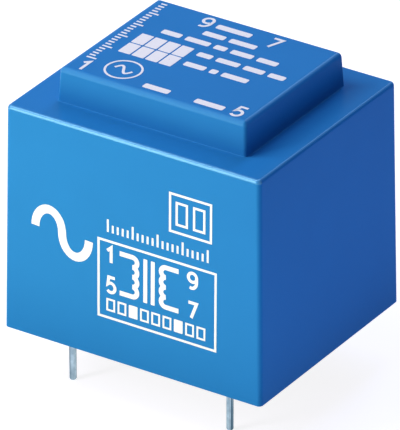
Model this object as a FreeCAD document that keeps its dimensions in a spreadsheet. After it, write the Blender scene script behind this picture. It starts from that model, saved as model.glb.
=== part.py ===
import math
import os

import FreeCAD
import Part
import Sketcher

# Potted mains transformer for a printed circuit board, in millimetres.
# Origin: middle of the case rim, which is the board's surface. +Z is up, X runs along the
# two pin rows, and the primary row lies at -Y. The coil's axis runs along Y.

DRIVING = [
    # Laminated core
    ("core_length", 30.0, "long side of a lamination, along X"),
    ("sheet_thickness", 0.5, "one lamination"),
    ("sheet_count", 36, "laminations in the stack, laid in pairs"),
    # Bobbin
    ("coil_lift", 1.75, "underside of the bobbin above the board"),
    ("leg_clearance", 0.15, "centre leg to the inside of the tube"),
    ("tube_wall", 0.8, "wall of the tube under the windings"),
    ("tube_corner", 0.5, "corner radius of the tube"),
    ("window_clearance", 0.15, "flange edge to the outer legs"),
    ("end_clearance", 0.15, "flange face to the yokes"),
    ("flange_thickness", 0.7, "each end flange"),
    ("partition_thickness", 0.8, "wall between the two chambers"),
    ("flange_corner", 1.2, "corner radius of the flanges"),
    ("rail_setback_x", 2.5, "end of a pin rail inside the core's end"),
    ("rail_setback_y", 0.3, "outer face of a pin rail inside the core's side"),
    ("rail_clearance", 0.3, "top of a pin rail to the core"),
    ("rail_chamfer", 0.8, "cut-off upright corners of the pin rails"),
    ("notch_width", 1.6, "notch for a lead in the flange's lower edge"),
    ("notch_height", 1.1, "height of that notch"),
    ("notch_length", 1.2, "how far the notch runs out under the rail"),
    # Windings
    ("winding_headroom", 0.45, "tape to the flange's edge"),
    ("tape_thickness", 0.15, "insulating tape round each winding"),
    ("tape_setback", 1.1, "strip left free by the tape for the leads"),
    ("lead_diameter", 0.3, "enamelled lead between a winding and its pin"),
    ("lead_slope", 1.0, "drop of a lead's sloping part, through the notch"),
    ("lead_edge", 0.35, "middle of a lead to the end flange's inner face"),
    ("lead_drop", 0.4, "middle of a lead below the rails"),
    ("exit_inset", 2.85, "middle of a primary lead inside the flange's edge"),
    # Pins
    ("pin_setback", 2.2, "middle of a pin inside the rail's outer face"),
    ("pin_inset", 2.5, "middle of an end pin inside the rail's end"),
    ("pin_diameter", 0.8, "round part of a pin"),
    ("pin_length", 6.4, "pin below the board's surface"),
    ("pin_tip", 0.25, "chamfer at the tip"),
    ("shank_width", 0.56, "square shank, pressed into the rail"),
    ("shank_grip", 3.5, "depth of the shank in the rail"),
    ("solder_radius", 0.75, "barrel of solder over the lead's turns round the pin"),
    ("solder_height", 0.95, "height of the solder joint"),
    # Case
    ("core_clearance", 0.1, "core's top edge to the case wall"),
    ("side_wall", 0.8, "side walls of the case"),
    ("roof_wall", 1.0, "roof of the shoulder and of the dome"),
    ("wall_draft", 0.8, "draft angle of the side walls in degrees"),
    ("shoulder_room", 1.1, "core to the underside of the shoulder"),
    ("case_corner", 0.72, "radius of the case's upright corners"),
    ("shoulder_edge", 0.42, "rounded edge round the shoulder"),
    ("dome_room_x", 0.95, "coil to the dome's inner wall, along X"),
    ("dome_room_y", 1.3, "coil to the dome's inner wall, along Y"),
    ("ceiling_clearance", 0.25, "coil to the dome's ceiling"),
    ("dome_wall", 0.85, "side walls of the dome"),
    ("dome_draft", 3.0, "draft angle of the dome in degrees"),
    ("dome_edge", 0.42, "rounded edges and corners of the dome"),
    ("dome_root", 0.35, "hollow fillet at the foot of the dome"),
    ("resin_recess", 0.5, "resin surface inside the rim"),
]

WORKED = [
    # The two I sheets of a pair are what is stamped out of the windows of its two E sheets,
    # which fixes every width of the lamination
    ("centre_leg", "dims.core_length / 3"),
    ("outer_leg", "centre_leg / 2"),
    ("yoke_width", "centre_leg / 2"),
    ("window_width", "centre_leg / 2"),
    ("window_length", "3 * window_width"),
    ("core_depth", "window_length + 2 * yoke_width"),
    ("stack_height", "dims.sheet_thickness * dims.sheet_count"),
    ("coil_overhang", "window_width - dims.window_clearance"),
    ("flange_width", "centre_leg + 2 * coil_overhang"),
    ("flange_height", "stack_height + 2 * coil_overhang"),
    ("coil_depth", "window_length - 2 * dims.end_clearance"),
    ("coil_middle", "dims.coil_lift + flange_height / 2"),
    ("core_bottom", "coil_middle - stack_height / 2"),
    ("core_top", "coil_middle + stack_height / 2"),
    ("bore_width", "centre_leg + 2 * dims.leg_clearance"),
    ("bore_height", "stack_height + 2 * dims.leg_clearance"),
    ("tube_width", "bore_width + 2 * dims.tube_wall"),
    ("tube_height", "bore_height + 2 * dims.tube_wall"),
    ("winding_build", "(flange_width - tube_width) / 2 - dims.tape_thickness - dims.winding_headroom"),
    ("flange_inner", "coil_depth / 2 - dims.flange_thickness"),
    ("chamber_middle", "(flange_inner + dims.partition_thickness / 2) / 2"),
    ("chamber_length", "flange_inner - dims.partition_thickness / 2"),
    ("winding_corner", "dims.tube_corner + winding_build"),
    ("tape_length", "chamber_length - dims.tape_setback"),
    ("rail_length", "dims.core_length - 2 * dims.rail_setback_x"),
    ("rail_outer", "core_depth / 2 - dims.rail_setback_y"),
    ("rail_top", "core_bottom - dims.rail_clearance"),
    ("row_distance", "2 * (rail_outer - dims.pin_setback)"),
    ("primary_spacing", "rail_length - 2 * dims.pin_inset"),
    ("secondary_spacing", "primary_spacing / 2"),
    ("primary_exit", "flange_width - 2 * dims.exit_inset"),
    ("shank_top", "dims.coil_lift + dims.shank_grip"),
    ("lead_height", "dims.coil_lift - dims.lead_drop"),
    ("rim_spread", "core_top * tan(dims.wall_draft)"),
    ("case_length", "dims.core_length + 2 * (dims.core_clearance + dims.side_wall + rim_spread)"),
    ("case_width", "core_depth + 2 * (dims.core_clearance + dims.side_wall + rim_spread)"),
    ("roof_height", "core_top + dims.shoulder_room"),
    ("shoulder_height", "roof_height + dims.roof_wall"),
    ("hollow_corner", "3 * dims.core_clearance"),
    ("ceiling_height", "dims.coil_lift + flange_height + dims.ceiling_clearance"),
    ("case_height", "ceiling_height + dims.roof_wall"),
    ("dome_spread", "(case_height - shoulder_height) * tan(dims.dome_draft)"),
    ("dome_length", "flange_width + 2 * (dims.dome_room_x + dims.dome_wall + dome_spread)"),
    ("dome_width", "coil_depth + 2 * (dims.dome_room_y + dims.dome_wall + dome_spread)"),
    ("hollow_wall", "dims.dome_wall - dims.roof_wall * tan(dims.dome_draft)"),
]

# Name, side of the board along Y, spacing of the row, side along X
PINS = [
    ("primary_pin_1", -1, "fits.primary_spacing", -1),
    ("primary_pin_5", -1, "fits.primary_spacing", 1),
    ("secondary_pin_7", 1, "fits.secondary_spacing", 1),
    ("secondary_pin_9", 1, "fits.secondary_spacing", -1),
]

# Nearer than this counts as touching or level, and a wall or a corner climbs more than the other
TOUCH = 0.001
CLIMB = 1.0
SHEETS_PER_TURN = 2

DOC = FreeCAD.newDocument("board_transformer")
DIMS = DOC.addObject("Spreadsheet::Sheet", "dims")
FITS = DOC.addObject("Spreadsheet::Sheet", "fits")
Z_AXIS = FreeCAD.Vector(0, 0, 1)


def fill_sheets():
    """Write the driving sizes and the sizes worked out from them."""
    for row, (alias, size, note) in enumerate(DRIVING, start=1):
        DIMS.set(f"A{row}", alias)
        DIMS.set(f"B{row}", str(size))
        DIMS.set(f"C{row}", note)
        DIMS.setAlias(f"B{row}", alias)
    DOC.recompute()
    for row, (alias, formula) in enumerate(WORKED, start=1):
        FITS.set(f"A{row}", alias)
        FITS.set(f"B{row}", "=" + formula)
        FITS.setAlias(f"B{row}", alias)
    DOC.recompute()


def value(expression):
    """Return the present value of an expression, in millimetres."""
    result = FITS.evalExpression(expression)
    return float(getattr(result, "Value", result))


def new_body(name, height=None, x=None, y=None):
    """Add a body, its placement bound to the sheets."""
    body = DOC.addObject("PartDesign::Body", name)
    body.Label = name
    for axis, place in (("x", x), ("y", y), ("z", height)):
        if place is not None:
            body.setExpression(f"Placement.Base.{axis}", place)
    return body


def new_sketch(body, role, name, offset=None):
    """Add a sketch on one of the body's origin planes, offset along the plane's normal."""
    sketch = body.newObject("Sketcher::SketchObject", name)
    plane = [item for item in body.Origin.OriginFeatures if item.Role == role][0]
    sketch.AttachmentSupport = [(plane, "")]
    sketch.MapMode = "FlatFace"
    if offset is not None:
        sketch.setExpression("AttachmentOffset.Base.z", offset)
    return sketch


def bind_constraint(sketch, constraint, expression):
    """Add a dimension to the sketch and bind it to an expression."""
    index = sketch.addConstraint(constraint)
    sketch.renameConstraint(index, f"size_{index}")
    sketch.setExpression(f"Constraints.size_{index}", expression)


def polygon(sketch, corners):
    """Draw a closed outline whose corners lie at pairs of expressions."""
    points = [FreeCAD.Vector(value(x), value(y), 0) for x, y in corners]
    first = sketch.GeometryCount
    count = len(points)
    for here, there in zip(points, points[1:] + points[:1]):
        sketch.addGeometry(Part.LineSegment(here, there), False)
    for step in range(count):
        following = first + (step + 1) % count
        sketch.addConstraint(Sketcher.Constraint("Coincident", first + step, 2, following, 1))
    for step, (point, (x, y)) in enumerate(zip(points, corners)):
        line = first + step
        bind_constraint(sketch, Sketcher.Constraint("DistanceX", -1, 1, line, 1, point.x), x)
        bind_constraint(sketch, Sketcher.Constraint("DistanceY", -1, 1, line, 1, point.y), y)


def rectangle(sketch, x, y, length, width):
    """Draw a rectangle about the point x, y."""
    left, right = f"{x} - ({length}) / 2", f"{x} + ({length}) / 2"
    low, high = f"{y} - ({width}) / 2", f"{y} + ({width}) / 2"
    polygon(sketch, [(left, low), (right, low), (right, high), (left, high)])


def rounded_rectangle(sketch, length, width, corner):
    """Draw a rectangle with round corners about the sketch's origin."""
    a, b, r = value(length) / 2, value(width) / 2, value(corner)
    first = sketch.GeometryCount
    quarter = math.pi / 2
    corners = [(a - r, r - b, 3), (a - r, b - r, 0), (r - a, b - r, 1), (r - a, r - b, 2)]
    sides = [((r - a, -b), (a - r, -b)), ((a, r - b), (a, b - r)),
             ((a - r, b), (r - a, b)), ((-a, b - r), (-a, r - b))]
    for (start, end), (x, y, turn) in zip(sides, corners):
        sketch.addGeometry(Part.LineSegment(FreeCAD.Vector(*start, 0), FreeCAD.Vector(*end, 0)), False)
        circle = Part.Circle(FreeCAD.Vector(x, y, 0), Z_AXIS, r)
        sketch.addGeometry(Part.ArcOfCircle(circle, turn * quarter, (turn + 1) * quarter), False)
    for step in range(8):
        following = first + (step + 1) % 8
        sketch.addConstraint(Sketcher.Constraint("Tangent", first + step, 2, following, 1))
    for side, direction in zip((0, 2, 4, 6), ("Horizontal", "Vertical") * 2):
        sketch.addConstraint(Sketcher.Constraint(direction, first + side))
    for arc in (3, 5, 7):
        sketch.addConstraint(Sketcher.Constraint("Equal", first + 1, first + arc))
    sketch.addConstraint(Sketcher.Constraint("Symmetric", first, 1, first + 4, 1, -1, 1))
    across = Sketcher.Constraint("DistanceX", first + 6, 1, first + 2, 2, 2 * a)
    along = Sketcher.Constraint("DistanceY", first, 1, first + 4, 1, 2 * b)
    bind_constraint(sketch, across, length)
    bind_constraint(sketch, along, width)
    bind_constraint(sketch, Sketcher.Constraint("Radius", first + 1, r), corner)


def pad(body, sketch, length, name, midplane=False):
    """Pad a sketch by a length, to one side or evenly to both."""
    feature = body.newObject("PartDesign::Pad", name)
    feature.Profile = sketch
    feature.Midplane = midplane
    feature.setExpression("Length", length)
    return feature


def pocket(body, sketch, length, name, midplane=False, reverse=False):
    """Pocket a sketch and check that it took something away."""
    DOC.recompute()
    before = body.Shape.Volume
    feature = body.newObject("PartDesign::Pocket", name)
    feature.Profile = sketch
    feature.Midplane = midplane
    feature.Reversed = reverse
    feature.setExpression("Length", length)
    DOC.recompute()
    if not body.Shape.Volume < before - TOUCH:
        raise RuntimeError(f"{name} cut nothing")
    return feature


def draft_walls(body, angle, foot, name):
    """Lean the walls that rise from the level foot inwards, and check that they do."""
    DOC.recompute()
    before = body.Shape.Volume
    base = body.Tip
    walls = [f"Face{i}" for i, face in enumerate(base.Shape.Faces, start=1)
             if abs(face.BoundBox.ZMin - foot) < TOUCH and face.BoundBox.ZLength > CLIMB]
    level = [f"Face{i}" for i, face in enumerate(base.Shape.Faces, start=1)
             if level_with(face, foot)]
    feature = body.newObject("PartDesign::Draft", name)
    feature.Base = (base, walls)
    feature.NeutralPlane = (base, level[:1])
    feature.setExpression("Angle", angle)
    DOC.recompute()
    if not body.Shape.Volume < before:
        raise RuntimeError(f"{name} leans outwards")
    return feature


def dress_edges(body, kind, size, name, wanted):
    """Fillet or chamfer those edges of the body for which wanted is true."""
    DOC.recompute()
    base = body.Tip
    names = [f"Edge{i}" for i, edge in enumerate(base.Shape.Edges, start=1) if wanted(edge)]
    if not names:
        raise RuntimeError(f"{name} found no edge")
    feature = body.newObject(f"PartDesign::{kind}", name)
    feature.Base = (base, names)
    feature.setExpression("Radius" if kind == "Fillet" else "Size", size)
    return feature


def mirror_about_xz(body, originals, name):
    """Repeat features on the other side of the body's XZ plane."""
    feature = body.newObject("PartDesign::Mirrored", name)
    feature.Originals = originals
    plane = [item for item in body.Origin.OriginFeatures if item.Role == "XZ_Plane"][0]
    feature.MirrorPlane = (plane, [""])
    body.Tip = feature
    return feature


def combine(kind, name, **links):
    """Add a boolean or a compound of other objects."""
    result = DOC.addObject(kind, name)
    result.Label = name
    for link, target in links.items():
        setattr(result, link, target)
    return result


def level_with(item, height):
    """Tell whether an edge or a face lies flat at a height."""
    box = item.BoundBox
    return abs(box.ZMin - height) < TOUCH and abs(box.ZMax - height) < TOUCH


def sloping_edge(edge):
    """Tell whether an edge climbs along a corner of drafted walls."""
    return edge.BoundBox.ZLength > CLIMB


def make_case_outside():
    """Outer form of the case: drafted walls, a rounded shoulder and the dome over the coil."""
    body = new_body("case_outside")
    rim = new_sketch(body, "XY_Plane", "rim_outline")
    rectangle(rim, "0", "0", "fits.case_length", "fits.case_width")
    pad(body, rim, "fits.shoulder_height", "case_block")
    draft_walls(body, "dims.wall_draft", 0, "drafted_walls")
    dress_edges(body, "Fillet", "dims.case_corner", "case_corners", sloping_edge)
    foot = new_sketch(body, "XY_Plane", "dome_foot", "fits.shoulder_height")
    rectangle(foot, "0", "0", "fits.dome_length", "fits.dome_width")
    pad(body, foot, "fits.case_height - fits.shoulder_height", "dome_block")
    draft_walls(body, "dims.dome_draft", value("shoulder_height"), "drafted_dome")

    shoulder_height, case_height = value("shoulder_height"), value("case_height")
    reach_x, reach_y = value("dome_length") / 2 + TOUCH, value("dome_width") / 2 + TOUCH

    def on_dome(edge):
        middle = edge.CenterOfMass
        return abs(middle.x) < reach_x and abs(middle.y) < reach_y

    dress_edges(body, "Fillet", "dims.shoulder_edge", "shoulder_rounding",
                lambda edge: level_with(edge, shoulder_height) and not on_dome(edge))
    dress_edges(body, "Fillet", "dims.dome_edge", "dome_rounding",
                lambda edge: level_with(edge, case_height) or on_dome(edge) and sloping_edge(edge))
    dress_edges(body, "Fillet", "dims.dome_root", "dome_root_fillet",
                lambda edge: level_with(edge, shoulder_height) and on_dome(edge))
    return body


def make_case_inside():
    """Hollow of the case, which also bounds the resin: the core's room and the coil's room."""
    body = new_body("case_inside")
    wall, dome_wall = "2 * dims.side_wall", "2 * fits.hollow_wall"
    mouth = new_sketch(body, "XY_Plane", "mouth_outline")
    rectangle(mouth, "0", "0", f"fits.case_length - {wall}", f"fits.case_width - {wall}")
    pad(body, mouth, "fits.roof_height", "core_room")
    draft_walls(body, "dims.wall_draft", 0, "core_room_draft")
    dress_edges(body, "Fillet", "fits.hollow_corner", "core_room_corners", sloping_edge)
    foot = new_sketch(body, "XY_Plane", "hollow_foot", "fits.roof_height")
    rectangle(foot, "0", "0", f"fits.dome_length - {dome_wall}", f"fits.dome_width - {dome_wall}")
    pad(body, foot, "fits.ceiling_height - fits.roof_height", "coil_room")
    draft_walls(body, "dims.dome_draft", value("roof_height"), "coil_room_draft")
    return body


def pin_place(row, spacing, side):
    """Return the expressions for a pin's place on the board."""
    return f"{side} * {spacing} / 2", f"{row} * fits.row_distance / 2"


def make_bobbin():
    """Two-chamber bobbin: tube, end flanges, partition and the two rails that hold the pins."""
    body = new_body("bobbin", height="fits.coil_middle")
    tube = new_sketch(body, "XZ_Plane", "tube_outline")
    rounded_rectangle(tube, "fits.tube_width", "fits.tube_height", "dims.tube_corner")
    pad(body, tube, "fits.coil_depth", "tube", midplane=True)
    partition = new_sketch(body, "XZ_Plane", "partition_outline")
    rounded_rectangle(partition, "fits.flange_width", "fits.flange_height", "dims.flange_corner")
    pad(body, partition, "dims.partition_thickness", "partition", midplane=True)

    # The XZ plane's normal points to -Y, so the primary side is drawn and then mirrored
    flange = new_sketch(body, "XZ_Plane", "flange_outline", "fits.flange_inner")
    rounded_rectangle(flange, "fits.flange_width", "fits.flange_height", "dims.flange_corner")
    end_flange = pad(body, flange, "dims.flange_thickness", "end_flange")
    rail = new_sketch(body, "XY_Plane", "rail_outline", "-fits.flange_height / 2")
    rectangle(rail, "0", "-(fits.rail_outer + fits.flange_inner) / 2", "fits.rail_length",
              "fits.rail_outer - fits.flange_inner")
    pin_rail = pad(body, rail, "fits.rail_top - dims.coil_lift", "pin_rail")
    mirror_about_xz(body, [end_flange, pin_rail], "secondary_side")

    bore = new_sketch(body, "XZ_Plane", "bore_outline")
    rectangle(bore, "0", "0", "fits.bore_width", "fits.bore_height")
    pocket(body, bore, "2 * fits.coil_depth", "leg_bore", midplane=True)

    holes = new_sketch(body, "XY_Plane", "pin_hole_outlines", "-fits.flange_height / 2")
    for _, row, spacing, side in PINS:
        x, y = pin_place(row, spacing, side)
        rectangle(holes, x, y, "dims.shank_width", "dims.shank_width")
    pocket(body, holes, "dims.shank_grip", "pin_holes", reverse=True)

    for row, exit_distance in ((-1, "fits.primary_exit"), (1, "fits.secondary_spacing")):
        notches = new_sketch(body, "XZ_Plane", f"notch_outlines_{row + 2}", f"{-row} * fits.flange_inner")
        for side in (-1, 1):
            rectangle(notches, f"{side} * {exit_distance} / 2", "-fits.flange_height / 2",
                      "dims.notch_width", "2 * dims.notch_height")
        pocket(body, notches, "dims.notch_length", f"wire_notches_{row + 2}", reverse=row < 0)

    reach, outer = value("rail_length") / 2, value("rail_outer")

    def rail_corner(edge):
        middle, box = edge.CenterOfMass, edge.BoundBox
        upright = box.XLength < TOUCH and box.YLength < TOUCH
        return upright and abs(abs(middle.x) - reach) < TOUCH and abs(abs(middle.y) - outer) < TOUCH

    dress_edges(body, "Chamfer", "dims.rail_chamfer", "rail_corners", rail_corner)
    return body


def make_pin(name, row, spacing, side):
    """One pin: round where it shows, with a chamfered tip, and square where the rail grips it."""
    x, y = pin_place(row, spacing, side)
    body = new_body(name, x=x, y=y)
    half = new_sketch(body, "XZ_Plane", f"{name}_half_section")
    radius, tip = "dims.pin_diameter / 2", "-dims.pin_length"
    polygon(half, [("0", "dims.resin_recess"), ("0", tip), (f"{radius} - dims.pin_tip", tip),
                   (radius, f"{tip} + dims.pin_tip"), (radius, "dims.resin_recess")])
    turned = body.newObject("PartDesign::Revolution", f"{name}_round")
    turned.Profile = half
    turned.ReferenceAxis = (half, ["V_Axis"])
    turned.Angle = 360
    square = new_sketch(body, "XY_Plane", f"{name}_square", "dims.resin_recess")
    rectangle(square, "0", "0", "dims.shank_width", "dims.shank_width")
    pad(body, square, "fits.shank_top - dims.resin_recess", f"{name}_shank")
    return body


def make_lead(name, x, y, pin_x, pin_y):
    """One lead: out of the winding, sloping down through its notch, then level to its pin."""
    slope = value("dims.lead_slope")
    run = FreeCAD.Vector(pin_x - x, pin_y - y, 0)
    length = run.Length
    ahead = run.normalize()
    corner = FreeCAD.Vector(x, y, value("lead_height"))
    start = corner + (Z_AXIS - ahead) * slope + Z_AXIS * slope
    path = Part.makePolygon([start, corner + ahead * slope, corner + ahead * length])
    section = Part.Wire(Part.makeCircle(value("dims.lead_diameter") / 2, start, ahead - Z_AXIS))
    mitred = 1
    tube = path.makePipeShell([section], True, False, mitred)
    solder = Part.makeCylinder(value("dims.solder_radius"), 2 * value("dims.coil_lift"),
                               FreeCAD.Vector(pin_x, pin_y, 0))
    lead = DOC.addObject("Part::Feature", name)
    lead.Shape = tube.cut(solder)
    return lead


def make_winding(name, row, exit_distance, spacing):
    """A winding in its chamber, with its two leads run out to the pins."""
    body = new_body(f"{name}_ring", height="fits.coil_middle")
    outline = new_sketch(body, "XZ_Plane", f"{name}_outline", f"{-row} * fits.chamber_middle")
    rounded_rectangle(outline, "fits.tube_width + 2 * fits.winding_build",
                      "fits.tube_height + 2 * fits.winding_build", "fits.winding_corner")
    rounded_rectangle(outline, "fits.tube_width", "fits.tube_height", "dims.tube_corner")
    pad(body, outline, "fits.chamber_length", f"{name}_pad", midplane=True)
    leads = []
    for side in (-1, 1):
        x = side * value(exit_distance) / 2
        y = row * (value("flange_inner") - value("dims.lead_edge"))
        pin_x, pin_y = side * value(spacing) / 2, row * value("fits.row_distance") / 2
        leads.append(make_lead(f"{name}_lead_{side + 2}", x, y, pin_x, pin_y))
    return combine("Part::MultiFuse", name, Shapes=[body] + leads)


def make_tape(name, row):
    """The tape round a winding, a little narrower than it to let the leads out."""
    body = new_body(name, height="fits.coil_middle")
    middle = f"{-row} * (fits.chamber_middle - dims.tape_setback / 2)"
    outline = new_sketch(body, "XZ_Plane", f"{name}_outline", middle)
    inner = "2 * fits.winding_build"
    outer = "2 * (fits.winding_build + dims.tape_thickness)"
    rounded_rectangle(outline, f"fits.tube_width + {outer}", f"fits.tube_height + {outer}",
                      "fits.winding_corner + dims.tape_thickness")
    rounded_rectangle(outline, f"fits.tube_width + {inner}", f"fits.tube_height + {inner}",
                      "fits.winding_corner")
    pad(body, outline, "fits.tape_length", f"{name}_pad", midplane=True)
    return body


def make_solder(number, pin, row, spacing, side):
    """The solder that ties a lead to its pin under the rail."""
    x, y = pin_place(row, spacing, side)
    barrel = DOC.addObject("Part::Cylinder", f"solder_barrel_{number}")
    barrel.setExpression("Radius", "dims.solder_radius")
    barrel.setExpression("Height", "dims.solder_height")
    for axis, place in (("x", x), ("y", y), ("z", "dims.coil_lift - dims.solder_height")):
        barrel.setExpression(f"Placement.Base.{axis}", place)
    return combine("Part::Cut", f"solder_joint_{number}", Base=barrel, Tool=pin)


def make_lamination(name, outline, level, turned):
    """One sheet of the stack, counted from the bottom."""
    sheet = DOC.addObject("Part::Extrusion", name)
    sheet.Base = outline
    sheet.DirMode = "Normal"
    sheet.Solid = True
    sheet.setExpression("LengthFwd", "dims.sheet_thickness")
    sheet.Placement.Rotation = FreeCAD.Rotation(Z_AXIS, 180 if turned else 0)
    sheet.setExpression("Placement.Base.z", f"fits.core_bottom + {level} * dims.sheet_thickness")
    return sheet


def make_core():
    """The stack: E and I sheets in pairs, each pair turned half round from the one below."""
    end, back = "dims.core_length / 2", "-fits.core_depth / 2"
    leg, window = "fits.centre_leg / 2", "(dims.core_length / 2 - fits.outer_leg)"
    right = [(end, back), (end, "fits.window_length / 2"), (window, "fits.window_length / 2"),
             (window, "-fits.window_length / 2"), (leg, "-fits.window_length / 2"),
             (leg, "fits.window_length / 2")]
    e_outline = DOC.addObject("Sketcher::SketchObject", "e_outline")
    polygon(e_outline, right + [(f"-{x}", y) for x, y in reversed(right)])
    i_outline = DOC.addObject("Sketcher::SketchObject", "i_outline")
    rectangle(i_outline, "0", "(fits.core_depth - fits.yoke_width) / 2",
              "dims.core_length", "fits.yoke_width")
    DOC.recompute()

    pairs = []
    for pair in range(int(value("dims.sheet_count")) // SHEETS_PER_TURN):
        for letter, outline in (("e", e_outline), ("i", i_outline)):
            name = f"{letter}_sheets_{pair + 1:02d}"
            sheets = [make_lamination(f"{name}_{step}", outline, SHEETS_PER_TURN * pair + step, pair % 2)
                      for step in range(SHEETS_PER_TURN)]
            pairs.append(combine("Part::Compound", name, Links=sheets))
    return pairs, (e_outline, i_outline)


def make_core_envelope(outlines):
    """The outside of the whole stack, which the resin is moulded round."""
    halves = []
    for outline in outlines:
        half = DOC.addObject("Part::Extrusion", f"{outline.Name}_envelope")
        half.Base = outline
        half.DirMode = "Normal"
        half.Solid = True
        half.setExpression("LengthFwd", "fits.stack_height")
        half.setExpression("Placement.Base.z", "fits.core_bottom")
        halves.append(half)
    return combine("Part::Fuse", "core_envelope", Base=halves[0], Tool=halves[1])


def make_resin(inside, contents):
    """The resin: what is left of the hollow above its surface."""
    room = DOC.addObject("Part::Box", "room_above_surface")
    for side, size in (("Length", "fits.case_length"), ("Width", "fits.case_width"),
                       ("Height", "fits.case_height")):
        room.setExpression(side, size)
    room.setExpression("Placement.Base.x", "-fits.case_length / 2")
    room.setExpression("Placement.Base.y", "-fits.case_width / 2")
    room.setExpression("Placement.Base.z", "dims.resin_recess")
    poured = combine("Part::Common", "poured_resin", Base=inside, Tool=room)
    filling = combine("Part::MultiFuse", "contents", Shapes=contents)
    return combine("Part::Cut", "potting_resin", Base=poured, Tool=filling)


def check_and_write(nodes):
    """Check every object of the document, then write one file for each sub-part."""
    DOC.recompute()
    for item in DOC.Objects:
        if "Invalid" in item.State or "Error" in item.State:
            raise RuntimeError(f"{item.Label} failed: {item.State}")
    for node in nodes:
        if node.Shape.isNull() or not node.Shape.isValid() or not node.Shape.Solids:
            raise RuntimeError(f"{node.Label} has no valid solid")
    os.makedirs("parts", exist_ok=True)
    for node in nodes:
        node.Shape.exportStep(f"parts/{node.Label}.step")
        box = node.Shape.BoundBox
        print(f"{node.Label}: {len(node.Shape.Solids)} solid(s), {node.Shape.Volume:.1f} mm3,"
              f" z {box.ZMin:.2f} to {box.ZMax:.2f}")


def build():
    """Build the whole transformer."""
    fill_sheets()
    outside, inside = make_case_outside(), make_case_inside()
    housing = combine("Part::Cut", "housing", Base=outside, Tool=inside)
    bobbin = make_bobbin()
    windings = {
        -1: make_winding("primary_winding", -1, "fits.primary_exit", "fits.primary_spacing"),
        1: make_winding("secondary_winding", 1, "fits.secondary_spacing", "fits.secondary_spacing"),
    }
    tapes = [make_tape("primary_tape", -1), make_tape("secondary_tape", 1)]
    pins, joints = [], []
    for name, row, spacing, side in PINS:
        pin = make_pin(name, row, spacing, side)
        number = name.rsplit("_", 1)[1]
        pins.append(pin)
        joints.append(make_solder(number, pin, row, spacing, side))
    sheets, outlines = make_core()
    inner = [bobbin] + list(windings.values()) + tapes + pins + joints
    resin = make_resin(inside, [make_core_envelope(outlines)] + inner)
    check_and_write([housing, resin] + inner + sheets)


build()
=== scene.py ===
"""Looks of a potted board transformer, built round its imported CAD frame.

Sizes are in millimetres, as on a drawing, and MM turns them to metres where a mesh is made.
+Z is up, X runs along the pin rows, the primary row lies at -Y and the board's surface is z = 0.
"""

import logging
import math
from dataclasses import dataclass, field
from enum import Enum
from typing import Any, Callable, Iterable, Sequence

import bmesh
import bpy
from mathutils import Matrix, Vector


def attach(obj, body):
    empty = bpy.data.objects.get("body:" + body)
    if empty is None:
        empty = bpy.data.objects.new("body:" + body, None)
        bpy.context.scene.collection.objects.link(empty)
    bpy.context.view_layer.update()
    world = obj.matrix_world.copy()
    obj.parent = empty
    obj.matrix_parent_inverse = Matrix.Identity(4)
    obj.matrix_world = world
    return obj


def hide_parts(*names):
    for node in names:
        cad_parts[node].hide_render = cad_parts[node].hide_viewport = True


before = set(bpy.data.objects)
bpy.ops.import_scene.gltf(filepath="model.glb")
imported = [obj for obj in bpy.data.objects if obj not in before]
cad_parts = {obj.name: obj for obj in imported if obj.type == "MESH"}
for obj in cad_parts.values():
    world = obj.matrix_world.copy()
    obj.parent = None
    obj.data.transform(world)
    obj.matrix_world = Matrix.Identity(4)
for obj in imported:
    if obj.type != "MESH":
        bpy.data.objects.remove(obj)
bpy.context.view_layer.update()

LOG = logging.getLogger("board_transformer")
MM = 0.001
# Nearly all values of a noise texture lie between these
NOISE_RANGE = (0.3, 0.7)
# Width of one band of the wave texture at a scale of 1
WAVE_PERIOD = math.pi / 10
# Distance from a rounding of the extra points that hold flat faces flat under smooth shading
HOLD = 0.03
# The numerals are drawn in a box 1 wide and this high
NUMERAL_BOX = 1.6

Point = tuple[float, float]
Strip = list[tuple[Point, Point]]
Ring = list[Vector]
Socket = bpy.types.NodeSocket
Tree = bpy.types.NodeTree


def linear(code: str) -> tuple[float, float, float, float]:
    """Turn an sRGB hex colour into a linear one.

    Args:
        code: The colour as #RRGGBB.

    Returns:
        Red, green, blue and an alpha of 1.
    """
    shares = [int(code[i:i + 2], 16) / 255 for i in (1, 3, 5)]
    red, green, blue = (s / 12.92 if s <= 0.04045 else ((s + 0.055) / 1.055) ** 2.4 for s in shares)
    return red, green, blue, 1.0


WHITE = linear("#FFFFFF")


def add_node(tree: Tree, kind: str, settings: dict[str, Any] | None = None,
             sockets: dict[str | int, Any] | None = None) -> bpy.types.Node:
    """Add a node with its settings and links.

    Args:
        tree: The node tree that takes the node.
        kind: The node's type name.
        settings: Properties of the node and their values.
        sockets: Inputs by name or number, each with a constant or with the output to link to it.

    Returns:
        The new node.
    """
    node = tree.nodes.new(kind)
    for name, value in (settings or {}).items():
        setattr(node, name, value)
    for name, value in (sockets or {}).items():
        if isinstance(value, Socket):
            tree.links.new(value, node.inputs[name])
        else:
            node.inputs[name].default_value = value
    return node


def emptied_tree(owner: bpy.types.Material | bpy.types.World) -> Tree:
    """Return the node tree of a new material or world, with nothing in it.

    Args:
        owner: The material or world.

    Returns:
        The tree.
    """
    owner.use_nodes = True
    owner.node_tree.nodes.clear()
    return owner.node_tree


def add_object(name: str, data: bpy.types.ID) -> bpy.types.Object:
    """Add an object to the scene.

    Args:
        name: The object's name.
        data: Its mesh, light or camera.

    Returns:
        The object.
    """
    item = bpy.data.objects.new(name, data)
    bpy.context.scene.collection.objects.link(item)
    return item


def per_metre(size: float) -> float:
    """Return the scale of a pattern whose features are this many millimetres across."""
    return 1 / (size * MM)


# Finishes


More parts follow.
